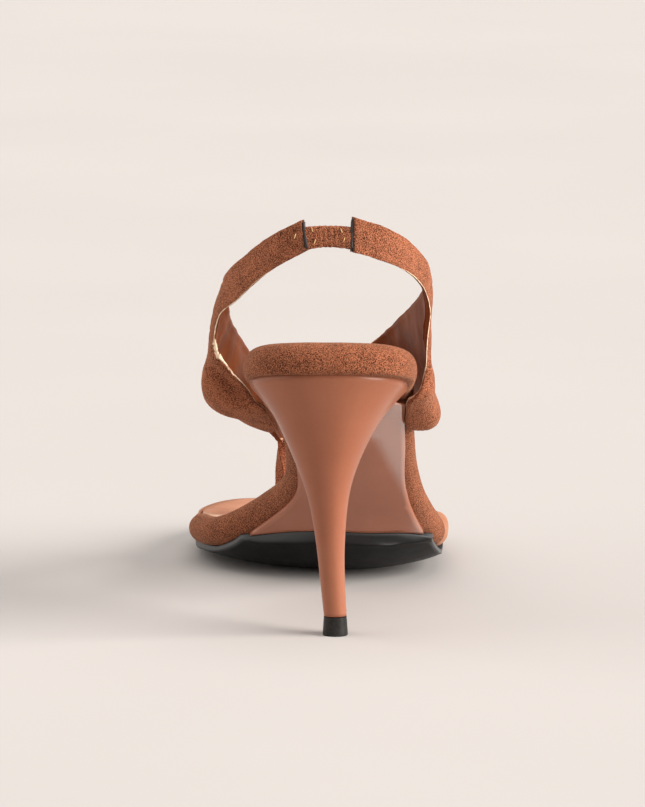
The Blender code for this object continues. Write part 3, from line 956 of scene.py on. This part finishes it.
@dataclass
class SoleUnit:
    """Lacquered waist and rubber forefoot sole."""

    sharp_deg: float = 30.0
    crease: float = 1.0
    levels: int = 2
    tuck_in: Point = (0.0, -11.0, 4.5)
    rear_reach: float = 1.0
    polish_heights: tuple[float, float, float] = (27.0, 55.0, 62.0)
    polish_edge: tuple[float, float, float] = (22.5, 11.0, -6.0)
    polish_blend: float = 4.5
    polish_least: float = 0.18
    rim_rise: float = 0.8
    rim_from: float = 128.0
    rim_blend: float = 8.0
    rim_share: float = 0.2
    wall_share: float = 0.3
    wall_blend: float = 0.3

    def build_waist(self, lacquer: bpy.types.Material) -> bpy.types.Object:
        """Make the underside of the arch, tucked under the seat at the rear and polished on its outer side.

        Args:
            lacquer: Its finish.

        Returns:
            The waist.
        """
        waist = copy_of("waist_sole", "waist_cover")
        crease_sharp(waist, self.sharp_deg, self.crease)
        points = points_of(waist)
        rear = points[:, 1] < points[:, 1].min() + self.rear_reach * MM
        move_points(waist, rear[:, None] * np.array(self.tuck_in))
        smoothed(waist, self.levels)
        points = SEAT.own(points_of(waist))
        edge = np.interp(points[:, 2], self.polish_heights, self.polish_edge)
        bright = ease((points[:, 0] - edge) / self.polish_blend)
        store(waist, "polish", self.polish_least + (1.0 - self.polish_least) * bright)
        return show(waist, lacquer, Slot.LACQUER, "waist_sole")

    def build_forefoot(self, rubber: bpy.types.Material) -> bpy.types.Object:
        """Make the forefoot sole, with its inner rim raised against the wrap and its side wall marked for a
        painted highlight.

        Args:
            rubber: Its finish.

        Returns:
            The forefoot sole.
        """
        sole = copy_of("forefoot_sole", "forefoot_tread")
        crease_sharp(sole, self.sharp_deg, self.crease)
        points = SEAT.own(points_of(sole))
        upward = (normals_of(sole)[:, 2] > self.rim_share) & (points[:, 0] < 0.0)
        rise = upward * ease((points[:, 1] - self.rim_from) / self.rim_blend) * self.rim_rise
        move_points(sole, rise[:, None] * UP)
        smoothed(sole, self.levels)
        flat = np.abs(normals_of(sole)[:, 2])
        # Side walls marked for the rubber's painted highlight.
        store(sole, "wall", 1.0 - ease((flat - self.wall_share) / self.wall_blend))
        return show(sole, rubber, Slot.RUBBER, "forefoot_sole")


@dataclass
class FootbedUnit:
    """Padded footbed in its suede wrap, and the sock that lies in it."""

    wrap: ToeWrap
    sharp_deg: float = 55.0
    crease: float = 0.9
    levels: int = 2
    bulge: Lumps = Lumps(11.0, 0.16, 3.0)
    fullness: float = 0.4
    seam_depth: float = 0.4
    seam_width: float = 0.7
    cover_drop: Span = (1.7, 0.9)
    drop_across: Span = (-20.0, 20.0)
    drop_from: float = -0.3
    drop_blend: float = 1.0
    fill: float = 0.9
    sock_creases: tuple[Crease, ...] = (
        Crease((-46.0, 160.0, 13.5), (-24.0, 186.0, 11.8), 4.0, 0.5),
        Crease((-43.0, 152.0, 14.2), (-18.0, 176.0, 11.8), 3.0, -0.4),
        Crease((-38.0, 136.0, 16.2), (-10.0, 160.0, 12.8), 5.0, 0.5),
    )
    sock_reach: float = 0.6
    sock_droop: float = 0.5
    sock_blend: float = 3.0
    worn_line: Crease = Crease((-48.0, 166.0, 13.0), (-34.0, 124.0, 18.5), 2.6, -1.0)

    def build_footbed(self) -> bpy.types.Object:
        """Make the padded footbed, with the seam sunk where the wrap ends and the toe cover lower.

        Returns:
            The footbed.
        """
        bed = copy_of("footbed", "footbed_wrap")
        crease_sharp(bed, self.sharp_deg, self.crease)
        smoothed(bed, self.levels)
        points = SEAT.own(points_of(bed))
        ahead = self.wrap.ahead(points)
        store(bed, "ahead", ahead)
        seam = self.seam_depth * np.exp(-((ahead / self.seam_width) ** 2))
        drop = np.interp(points[:, 0], self.drop_across, self.cover_drop)
        drop *= ease((ahead - self.drop_from) / self.drop_blend)
        raise_points(bed, self.bulge.at(points) - seam - drop + self.fullness)
        return show(bed, self.wrap.dress("footbed_suede"), Slot.SUEDE, "footbed")

    def build_sock(self, lining: bpy.types.Material) -> bpy.types.Object:
        """Make the sock, with its rim let down at the toe, soft wrinkles and a worn line at its edge.

        Args:
            lining: Its finish.

        Returns:
            The sock.
        """
        sock = copy_of("insole", "insole_sock")
        held = crease_sharp(sock, self.sharp_deg, self.crease)
        rim = np.zeros(len(sock.data.vertices))
        for index in np.flatnonzero(held):
            rim[list(sock.data.edges[index].vertices)] = 1.0
        part = rim * ease(self.wrap.ahead(SEAT.own(points_of(sock))) / self.sock_blend)
        outward = normals_of(sock) * LEVEL
        outward /= np.maximum(np.linalg.norm(outward, axis=1), SHORTEST)[:, None]
        move_points(sock, part[:, None] * (outward * self.sock_reach - UP * self.sock_droop))
        smoothed(sock, self.levels)
        press(sock, self.sock_creases)
        store(sock, "worn", self.worn_line.height(SEAT.own(points_of(sock))))
        return show(sock, lining, Slot.LINING, "insole")


@dataclass
class StrapUnit:
    """Sling straps joined over the instep, with the post that they end in."""

    skin: StrapSkin
    sharp_deg: float = 55.0
    crease: float = 0.75
    levels: int = 2
    fill_out: float = 0.9
    wall_reach: float = 3.3
    wall_inset: float = 0.05
    lining_vote: float = 0.5
    post_from: float = 150.0
    foot_line: tuple[Point, ...] = (
        (0.0, 32.0, 120.0),
        (0.0, 60.0, 88.0),
        (0.0, 100.0, 52.0),
        (-4.0, 140.0, 34.0),
    )
    raw_from: float = 8.0
    raw_to: float = 52.0
    raw_fade: Span = (10.0, 6.0)
    raw_least: float = 0.25
    end_middles: Span = (-6.6, 7.6)
    end_reach: float = 1.2
    end_across: float = 9.0
    end_along: float = 2.0
    bulge: Lumps = Lumps(7.0, 0.22, 1.0)
    ripple: Lumps = Lumps(2.6, 0.10, 5.0)
    fray: Lumps = Lumps(0.9, 0.2, 9.0)
    cut_span: Span = (0.05, 0.95)
    line_from_edge: float = 2.4
    line_width: float = 0.5
    line_depth: float = 0.22
    brush: Lumps = Lumps(2.4, 0.34, 11.0)
    brush_way: Point = (0.60, 0.25, -0.76)
    brush_stretch: float = 7.0
    brush_inner: float = -24.0
    brush_below: float = 90.0
    brush_fade: Span = (6.0, 12.0)
    brush_least: float = 0.45
    # Painted light: a lift of the whole low inner strap, which lies on the shaded side.
    painted_light_lift: float = 0.10
    hem_turn: Point = (-36.0, 43.5, 83.5)
    hem_reach: float = 9.0
    hem_blend: float = 2.0
    hem_factor: float = 0.5
    hem_repeats: int = 4
    creases: tuple[Crease, ...] = (
        Crease((-38.5, 45.5, 82.0), (-30.0, 50.0, 68.0), 1.5, 0.7),
        Crease((-38.9, 47.6, 78.0), (-27.0, 52.0, 65.5), 1.4, -0.6),
        Crease((-38.0, 52.0, 74.5), (-22.0, 57.0, 61.0), 1.5, 0.8),
        Crease((-36.0, 57.0, 70.0), (-20.0, 60.0, 58.5), 1.6, -0.5),
        Crease((-31.5, 19.0, 110.0), (-24.0, 9.0, 115.0), 3.0, -0.35),
        Crease((-27.0, 12.0, 116.5), (-17.0, 2.6, 122.0), 2.5, 0.35),
        Crease((-10.5, -1.6, 130.5), (-9.0, -1.6, 121.5), 0.6, 0.4),
        Crease((10.6, -1.4, 131.5), (10.2, -1.4, 121.2), 0.6, 0.3),
        Crease((30.4, 44.0, 88.0), (29.5, 58.0, 64.0), 2.6, 0.4),
        Crease((25.0, 10.5, 119.0), (30.0, 27.0, 106.0), 2.5, -0.3),
        Crease((28.5, 47.5, 76.0), (31.5, 62.0, 62.5), 2.0, -0.35),
    )

    def nearest_in_foot(self, point: np.ndarray) -> np.ndarray:
        """Give the nearest place on the line through the middle of the foot.

        Args:
            point: A point in the shoe's own millimetres.

        Returns:
            The nearest place.
        """
        line = [np.array(place) for place in self.foot_line]
        found = []
        for start, end in zip(line, line[1:]):
            run = end - start
            part = min(max(float((point - start) @ run / (run @ run)), 0.0), 1.0)
            found.append(start + part * run)
        return min(found, key=lambda place: float(np.linalg.norm(place - point)))

    def mark_skins(self, upper: bpy.types.Object) -> None:
        """Store at each point whether it lies on the outer skin, 0, or on the lining, 1.

        A face has a vote where another one backs it within a wall's reach, and it votes for the lining where
        it looks towards the foot. The post is suede all round.

        Args:
            upper: The straps, before they are smoothed.
        """
        corners = [vert.co for vert in upper.data.vertices]
        tree = BVHTree.FromPolygons(corners, [face.vertices for face in upper.data.polygons])
        votes = np.zeros(len(corners))
        counts = np.zeros(len(corners))
        for face in upper.data.polygons:
            own = SEAT.own(np.array(face.center))
            on_post = own[1] >= self.post_from
            start = face.center - face.normal * (self.wall_inset * MM)
            backed = tree.ray_cast(start, -face.normal, self.wall_reach * MM)[0] is not None
            if not backed and not on_post:
                continue
            inward = (own - self.nearest_in_foot(own)) @ np.array(face.normal) < 0.0
            for vertex in face.vertices:
                votes[vertex] += float(inward and not on_post) * face.area
                counts[vertex] += face.area
        share = votes / np.maximum(counts, SMALLEST_AREA)
        store(upper, "depth", (share > self.lining_vote).astype(float))

    def soften_hem(self, upper: bpy.types.Object) -> None:
        """Smooth the place where the inner strap's cut edge turns under the footbed.

        Args:
            upper: The smoothed straps.
        """
        points = SEAT.own(points_of(upper))
        near = np.linalg.norm(points - np.array(self.hem_turn), axis=1) < self.hem_reach
        with editing(upper):
            select_rows(upper, "VERT", near)
            bpy.ops.mesh.vertices_smooth(factor=self.hem_factor, repeat=self.hem_repeats)
        depth = stored(upper, "depth")
        tree = tree_of(points)
        even = depth.copy()
        for index in np.flatnonzero(near):
            around = [hit[1] for hit in tree.find_range(points[index], self.hem_blend)]
            even[index] = np.mean(depth[around])
        store(upper, "depth", even)

    def edge_work(self, upper: bpy.types.Object, points: np.ndarray) -> np.ndarray:
        """Give the heights of the line pressed beside the straps' edges and of the rough cut edge itself.

        Args:
            upper: The smoothed straps.
            points: Their points in the shoe's own millimetres.

        Returns:
            The height at each point, in millimetres.
        """
        low, high = self.cut_span
        depth = stored(upper, "depth")
        cut = (depth > low) & (depth < high)
        tree = tree_of(points[cut])
        away = np.array([tree.find(point)[2] for point in points])
        line = -self.line_depth * np.exp(-(((away - self.line_from_edge) / self.line_width) ** 2))
        return line + cut * self.fray.at(points)

    def mark_edges(self, upper: bpy.types.Object) -> None:
        """Store where the cut edge is raw, and where the folded ends are dark.

        Args:
            upper: The finished straps.
        """
        points = SEAT.own(points_of(upper))
        fade_in, fade_out = self.raw_fade
        raw = ease((points[:, 1] - self.raw_from) / fade_in) * ease((self.raw_to - points[:, 1]) / fade_out)
        store(upper, "raw", self.raw_least + (1.0 - self.raw_least) * raw)
        near_end = (np.abs(points[:, 0]) < self.end_across) & (points[:, 1] < self.end_along)
        away = np.abs(points[:, 0] - np.where(points[:, 0] < 0.0, *self.end_middles))
        store(upper, "dark", near_end * (1.0 - ease(away / self.end_reach)))

    def mark_brushing_and_painted_light(self, upper: bpy.types.Object) -> None:
        """Store where the nap is brushed lighter or darker, most in streaks low on the inner strap, with
        painted light that lifts the whole low inner strap.

        Args:
            upper: The finished straps.
        """
        points = SEAT.own(points_of(upper))
        way = np.array(self.brush_way)
        squeezed = points - np.outer(points @ way, way) * (1.0 - 1.0 / self.brush_stretch)
        fade_x, fade_z = self.brush_fade
        low = ease((self.brush_inner - points[:, 0]) / fade_x)
        low *= ease((self.brush_below - points[:, 2]) / fade_z)
        weight = self.brush_least + (1.0 - self.brush_least) * low
        store(upper, "brush", self.brush.at(squeezed) * weight + self.painted_light_lift * low)

    def build_straps(self) -> bpy.types.Object:
        """Make the straps, with soft creases where they turn under the footbed.

        Returns:
            The straps.
        """
        upper = copy_of("upper", "sling_straps")
        self.mark_skins(upper)
        crease_sharp(upper, self.sharp_deg, self.crease)
        smoothed(upper, self.levels, self.fill_out)
        self.soften_hem(upper)
        press(upper, self.creases)
        points = SEAT.own(points_of(upper))
        raise_points(upper, self.bulge.at(points) + self.ripple.at(points) + self.edge_work(upper, points))
        self.mark_edges(upper)
        self.mark_brushing_and_painted_light(upper)
        return show(upper, self.skin.dress("strap_suede"), Slot.SUEDE, "upper")


@dataclass
class SlingElastic:
    """Suede-covered elastic behind the heel, with the dark glued folds of the strap ends and the stitches."""

    edge: float = 0.6
    sharp_deg: float = 60.0
    cuts: int = 5
    gather: float = 0.07
    gathers: int = 9
    gather_drift: Lumps = Lumps(5.0, 1.5, 2.0)
    rough: Lumps = Lumps(1.8, 0.12, 7.0)
    fold_radius: float = 0.62
    fold_sides: int = 10
    fold_cuts: int = 3
    fold_levels: int = 1
    fold_rough: Lumps = Lumps(1.3, 0.42, 4.0)
    fold_ends: tuple[tuple[Point, Point], ...] = (
        ((-7.2, -2.3, 131.7), (-6.0, -2.3, 123.0)),
        ((7.7, -2.3, 132.8), (7.3, -2.3, 122.6)),
    )
    stitch_length: float = 1.6
    stitch_radius: float = 0.16
    stitch_sides: int = 10
    stitch_rings: int = 8
    stitch_tilt: float = 0.35
    stitches: tuple[Point, ...] = (
        (-9.6, -3.3, 127.2),
        (-4.4, -3.0, 129.2),
        (-3.6, -3.0, 125.6),
        (4.4, -3.0, 129.0),
        (5.2, -3.0, 126.2),
    )

    def build_elastic(self, suede: bpy.types.Material) -> bpy.types.Object:
        """Make the gathered elastic, with round edges.

        Args:
            suede: Its finish.

        Returns:
            The elastic.
        """
        elastic = copy_of("back_elastic", "sling_elastic")
        round_sharp(elastic, self.sharp_deg, self.edge)
        with editing(elastic):
            bpy.ops.mesh.subdivide(number_cuts=self.cuts)
        only(elastic)
        bpy.ops.object.shade_smooth()
        points = SEAT.own(points_of(elastic))
        along = (points[:, 0] - points[:, 0].min()) / np.ptp(points[:, 0])
        waves = np.cos(2.0 * np.pi * self.gathers * along + self.gather_drift.at(points))
        raise_points(elastic, waves * self.gather * np.sin(np.pi * along) + self.rough.at(points))
        return show(elastic, suede, Slot.SUEDE, "back_elastic")

    def build_fold(self, side: Side, finish: bpy.types.Material) -> bpy.types.Object:
        """Make the dark glued edge of one strap's folded end, from a rod along it.

        Args:
            side: Side of the foot.
            finish: Its finish.

        Returns:
            The folded edge.
        """
        start, end = (SEAT.place(point) for point in self.fold_ends[side.value])
        run = end - start
        bpy.ops.object.select_all(action="DESELECT")
        bpy.ops.mesh.primitive_cylinder_add(
            vertices=self.fold_sides, radius=self.fold_radius * MM, depth=run.length)
        fold = bpy.context.active_object
        fold.name = f"fold_edge_{side.name.lower()}"
        with editing(fold):
            bpy.ops.mesh.subdivide(number_cuts=self.fold_cuts)
        turn = run.to_track_quat("Z", "Y").to_matrix().to_4x4()
        fold.matrix_world = Matrix.Translation((start + end) / 2.0) @ turn
        only(fold)
        bpy.ops.object.transform_apply(location=True, rotation=True, scale=True)
        smoothed(fold, self.fold_levels)
        raise_points(fold, self.fold_rough.at(SEAT.own(points_of(fold))))
        return show(fold, finish, Slot.SUEDE)

    def build_stitches(self, finish: bpy.types.Material) -> bpy.types.Object:
        """Make the few bright stitches that show behind the heel, tilted to and fro.

        Args:
            finish: Their finish.

        Returns:
            The stitches, in one object.
        """
        stretch = Matrix.Scale(self.stitch_length / (2.0 * self.stitch_radius), 4, Vector(UP))
        made = []
        for index, middle in enumerate(self.stitches):
            bpy.ops.object.select_all(action="DESELECT")
            bpy.ops.mesh.primitive_uv_sphere_add(
                segments=self.stitch_sides, ring_count=self.stitch_rings, radius=self.stitch_radius * MM)
            stitch = bpy.context.active_object
            turn = Matrix.Rotation(self.stitch_tilt * (-1.0) ** index, 4, "Y")
            stitch.data.transform(Matrix.Translation(SEAT.place(middle)) @ turn @ stretch)
            made.append(stitch)
        only(made[0])
        for stitch in made[1:]:
            stitch.select_set(True)
        bpy.ops.object.join()
        made[0].name = "sling_stitches"
        bpy.ops.object.shade_smooth()
        return show(made[0], finish, Slot.SUEDE)


def behind(azimuth_deg: float, elevation_deg: float) -> Vector:
    """Give the direction from the shoe to a place behind it.

    Args:
        azimuth_deg: Turn to the outer side.
        elevation_deg: Rise from the floor.

    Returns:
        A direction of length 1.
    """
    turn = math.radians(azimuth_deg)
    rise = math.radians(elevation_deg)
    return Vector((math.sin(turn) * math.cos(rise), -math.cos(turn) * math.cos(rise), math.sin(rise)))


@dataclass(frozen=True)
class SoftSun:
    """A broad soft light from one direction."""

    name: str
    power: float
    azimuth_deg: float
    elevation_deg: float
    spread_deg: float


@dataclass
class Studio:
    """Camera, soft lights and the pale floor."""

    stand: Point = (0.0, 24.0, 60.0)
    aim: Point = (-2.35, 25.83, 71.69)
    distance: float = 1800.0
    azimuth_deg: float = 2.0
    elevation_deg: float = 9.3
    focal_px: float = 5850.0
    image_height_px: float = 807.0
    sensor: float = 36.0
    floor_metres: float = 14.0
    lamp_metres: float = 2.0
    lamp_colour: Colour = (1.0, 0.965, 0.93)
    lights: tuple[SoftSun, ...] = (
        SoftSun("key_light", 6.3, 76.0, 22.0, 45.0),
        SoftSun("fill_light", 1.6, -92.0, 20.0, 70.0),
        SoftSun("top_light", 1.4, 0.0, 85.0, 70.0),
    )
    world_strength: float = 0.38
    world_colour: Colour = (1.0, 0.965, 0.935)

    def build_camera(self) -> bpy.types.Object:
        """Set the camera behind the heel, at the photo's angle.

        Returns:
            The camera.
        """
        back = behind(self.azimuth_deg, self.elevation_deg)
        bpy.ops.object.camera_add(location=SEAT.place(self.stand) + back * self.distance * MM)
        camera = bpy.context.active_object
        camera.rotation_euler = (SEAT.place(self.aim) - camera.location).to_track_quat("-Z", "Y").to_euler()
        camera.data.sensor_width = self.sensor
        camera.data.lens = self.focal_px * self.sensor / self.image_height_px
        bpy.context.scene.camera = camera
        return camera

    def build_floor(self) -> bpy.types.Object:
        """Lay the pale floor.

        Returns:
            The floor.
        """
        bpy.ops.object.select_all(action="DESELECT")
        bpy.ops.mesh.primitive_plane_add(size=self.floor_metres)
        floor = bpy.context.active_object
        floor.name = "floor"
        floor.data.materials.append(Floor().dress("pale_floor"))
        return floor

    def build_world(self) -> None:
        """Fill the shadows with an even light from all round."""
        world = bpy.data.worlds.new("studio")
        world.use_nodes = True
        background = world.node_tree.nodes["Background"]
        background.inputs["Color"].default_value = (*self.world_colour, 1.0)
        background.inputs["Strength"].default_value = self.world_strength
        bpy.context.scene.world = world

    def build_lights(self) -> None:
        """Light the shoe softly, most from the camera's right side."""
        for light in self.lights:
            away = behind(light.azimuth_deg, light.elevation_deg)
            bpy.ops.object.light_add(type="SUN", location=away * self.lamp_metres)
            lamp = bpy.context.active_object
            lamp.name = light.name
            lamp.data.energy = light.power
            lamp.data.angle = math.radians(light.spread_deg)
            lamp.data.color = self.lamp_colour
            lamp.rotation_euler = (-away).to_track_quat("-Z", "Y").to_euler()

    def set_colour(self) -> None:
        """Show the light as it is, with no film curve."""
        bpy.context.scene.view_settings.view_transform = "Standard"
        bpy.context.scene.view_settings.look = "None"


def build_heel_and_sole() -> None:
    """Build the heel, its top lift, the waist and the forefoot sole."""
    heel = HeelUnit()
    heel.build_heel(Lacquer().dress("heel_lacquer"))
    lift_rubber = Rubber(deep=(0.012, 0.011, 0.010), light=(0.026, 0.024, 0.022))
    heel.build_lift(lift_rubber.dress("lift_rubber"))
    sole = SoleUnit()
    # Paler than the heel's lacquer: painted reflection of the bright floor in the waist's underside.
    waist_lacquer_painted_reflection = Lacquer(
        deep=(0.33, 0.118, 0.064), light=(0.37, 0.138, 0.078), coat=1.0, coat_roughness=0.08, coat_ior=3.2)
    sole.build_waist(waist_lacquer_painted_reflection.dress("waist_lacquer_painted_reflection"))
    sole.build_forefoot(Rubber().dress("sole_rubber"))


def build_footbed() -> None:
    """Build the wrapped footbed and its sock."""
    wrap_suede = Suede(deep=(0.060, 0.017, 0.0072), light=(0.345, 0.118, 0.057))
    toe_cover = Lining(deep=(0.30, 0.116, 0.058), light=(0.39, 0.163, 0.088))
    footbed = FootbedUnit(ToeWrap(wrap_suede, toe_cover))
    footbed.build_footbed()
    footbed.build_sock(Lining().dress("sock_lining"))


def build_sling() -> None:
    """Build the straps, the elastic, the folded ends and the stitches."""
    strap_lining = Lining(
        deep=(0.11, 0.027, 0.007), light=(0.19, 0.048, 0.013), roughness=0.45, specular=0.06)
    StrapUnit(StrapSkin(Suede(), strap_lining)).build_straps()
    elastic = SlingElastic()
    elastic.build_elastic(Suede().dress("elastic_suede"))
    dark_glue = Thread((0.03, 0.02, 0.017)).dress("dark_glue")
    for side in Side:
        elastic.build_fold(side, dark_glue)
    elastic.build_stitches(Thread((0.85, 0.55, 0.22)).dress("gold_thread"))


def main() -> None:
    """Build every piece of the shoe and the studio round it."""
    logging.basicConfig(level=logging.INFO)
    build_heel_and_sole()
    build_footbed()
    build_sling()
    studio = Studio()
    studio.build_camera()
    studio.build_floor()
    studio.build_world()
    studio.build_lights()
    studio.set_colour()


if __name__ == "__main__":
    main()
